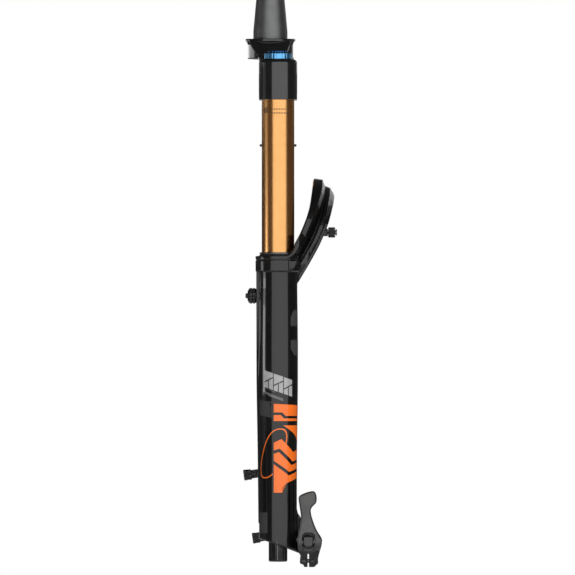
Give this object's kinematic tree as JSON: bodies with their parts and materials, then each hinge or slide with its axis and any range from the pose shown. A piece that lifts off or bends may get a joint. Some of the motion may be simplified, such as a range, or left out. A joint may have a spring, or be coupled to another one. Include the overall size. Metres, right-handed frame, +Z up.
{
  "type": "suspension fork",
  "caption": "Telescopic single-crown bicycle fork: tapered steerer, sliding legs joined by an arch, lever-clamped thru-axle and rear disc-brake posts.",
  "frame": {"origin": "on the steerer tube's axis, in the plane of the crown race seat", "axes": "+Z up along the steerer, +X forwards towards the axle's offset, +Y to the rider's left, the disc-brake side"},
  "size_m": [0.1096, 0.2048, 0.8188],
  "materials": {
    "casting_paint": "gloss",
    "crown_anodising": "gloss",
    "steerer_coat": "satin",
    "stanchion_coat": "gloss",
    "top_cap_anodising": "gloss",
    "knob_blue": "gloss",
    "knob_red": "gloss",
    "rebound_cover_finish": "gloss",
    "lever_finish": "satin",
    "axle_finish": "satin",
    "bleeder_finish": "satin",
    "bare_alloy": "satin",
    "screw_steel": "satin",
    "nut_finish": "satin",
    "seal_rubber": "matte",
    "oil_foam": "matte",
    "bearing_lining": "satin",
    "moulded_plastic": "satin",
    "spacer_plastic": "satin"
  },
  "bodies": {
    "chassis": {"crown": "crown_anodising", "steerer_tube": "steerer_coat", "stanchion_left": "stanchion_coat", "stanchion_right": "stanchion_coat", "air_top_cap": "top_cap_anodising", "air_valve": "bare_alloy", "volume_spacer_upper": "spacer_plastic", "volume_spacer_lower": "spacer_plastic", "air_seal_head": "bare_alloy", "seal_head_clip": "screw_steel", "damper_top_cap": "top_cap_anodising", "damper_cartridge": "bare_alloy", "base_valve": "bare_alloy", "damper_seal_head": "bare_alloy"},
    "lowers": {"lower_casting": "casting_paint", "wiper_seal_left": "seal_rubber", "wiper_seal_right": "seal_rubber", "foam_ring_left": "oil_foam", "foam_ring_right": "oil_foam", "bushing_upper_left": "bearing_lining", "bushing_upper_right": "bearing_lining", "bushing_lower_left": "bearing_lining", "bushing_lower_right": "bearing_lining", "air_shaft": "bare_alloy", "air_piston": "moulded_plastic", "top_out_bumper": "seal_rubber", "air_foot_nut": "nut_finish", "damper_shaft": "bare_alloy", "rebound_piston": "bearing_lining", "damper_foot_nut": "nut_finish", "bleed_valve_left": "bleeder_finish", "bleed_valve_right": "bleeder_finish", "hose_guide": "moulded_plastic", "hose_guide_screw": "screw_steel", "axle_nut": "axle_finish", "nut_lock_screw": "screw_steel", "axle_sleeve": "axle_finish", "pinch_bolt": "screw_steel"},
    "sag_marker": {"sag_ring": "seal_rubber"},
    "valve_cap": {"air_valve_cap": "top_cap_anodising"},
    "valve_pin": {"valve_core_pin": "bare_alloy"},
    "high_speed_compression": {"high_speed_compression_knob": "knob_blue"},
    "low_speed_compression": {"low_speed_compression_knob": "knob_blue"},
    "high_speed_rebound": {"high_speed_rebound_knob": "knob_red"},
    "low_speed_rebound": {"low_speed_rebound_knob": "knob_red", "rebound_adjuster_rod": "screw_steel"},
    "rebound_cap": {"rebound_cover": "rebound_cover_finish"},
    "bleeder_left": {"bleed_button_left": "bleeder_finish"},
    "bleeder_right": {"bleed_button_right": "bleeder_finish"},
    "thru_axle": {"axle": "axle_finish", "cam_cup": "axle_finish", "lever_pin": "screw_steel"},
    "lever": {"axle_lever": "lever_finish"}
  },
  "joints": [
    {"name": "travel", "type": "slide", "parent": "chassis", "child": "lowers", "axis": [0, 0, 1], "range_m": [0, 0.17], "stiffness_N_per_m": 7000, "springref_m": -0.02},
    {"name": "sag_ring_slide", "type": "slide", "parent": "chassis", "child": "sag_marker", "axis": [0, 0, 1], "range_m": [0, 0.0476]},
    {"name": "valve_cap_pull", "type": "slide", "parent": "chassis", "child": "valve_cap", "axis": [0, 0, 1], "range_m": [0, 0.03]},
    {"name": "valve_pin_press", "type": "slide", "parent": "chassis", "child": "valve_pin", "axis": [0, 0, -1], "range_m": [0, 0.0015], "stiffness_N_per_m": 300},
    {"name": "high_speed_compression_turn", "type": "hinge", "parent": "chassis", "child": "high_speed_compression", "pos_m": [0.0089, -0.075, -0.02], "axis": [0, 0, 1], "range_deg": [0, 240]},
    {"name": "low_speed_compression_turn", "type": "hinge", "parent": "chassis", "child": "low_speed_compression", "pos_m": [0.0089, -0.075, -0.015], "axis": [0, 0, 1], "range_deg": [0, 330]},
    {"name": "high_speed_rebound_turn", "type": "hinge", "parent": "lowers", "child": "high_speed_rebound", "pos_m": [0.0089, -0.075, -0.59], "axis": [0, 0, -1], "range_deg": [0, 240]},
    {"name": "low_speed_rebound_turn", "type": "hinge", "parent": "lowers", "child": "low_speed_rebound", "pos_m": [0.0089, -0.075, -0.6], "axis": [0, 0, -1], "range_deg": [0, 330]},
    {"name": "rebound_cover_pull", "type": "slide", "parent": "lowers", "child": "rebound_cap", "axis": [0, 0, -1], "range_m": [0, 0.03]},
    {"name": "bleed_press_left", "type": "slide", "parent": "lowers", "child": "bleeder_left", "axis": [1, 0, 0], "range_m": [0, 0.0015], "stiffness_N_per_m": 400},
    {"name": "bleed_press_right", "type": "slide", "parent": "lowers", "child": "bleeder_right", "axis": [1, 0, 0], "range_m": [0, 0.0015], "stiffness_N_per_m": 400},
    {"name": "axle_turn", "type": "hinge", "parent": "lowers", "child": "thru_axle", "pos_m": [0.044, 0, -0.584], "axis": [0, 1, 0], "continuous": true},
    {"name": "lever_swing", "type": "hinge", "parent": "thru_axle", "child": "lever", "pos_m": [0.044, -0.0935, -0.584], "axis": [1, 0, 0], "range_deg": [0, 150]}
  ],
  "couplings": [
    {"joint": "sag_ring_slide", "follows": "travel", "ratio": 0.28}
  ]
}
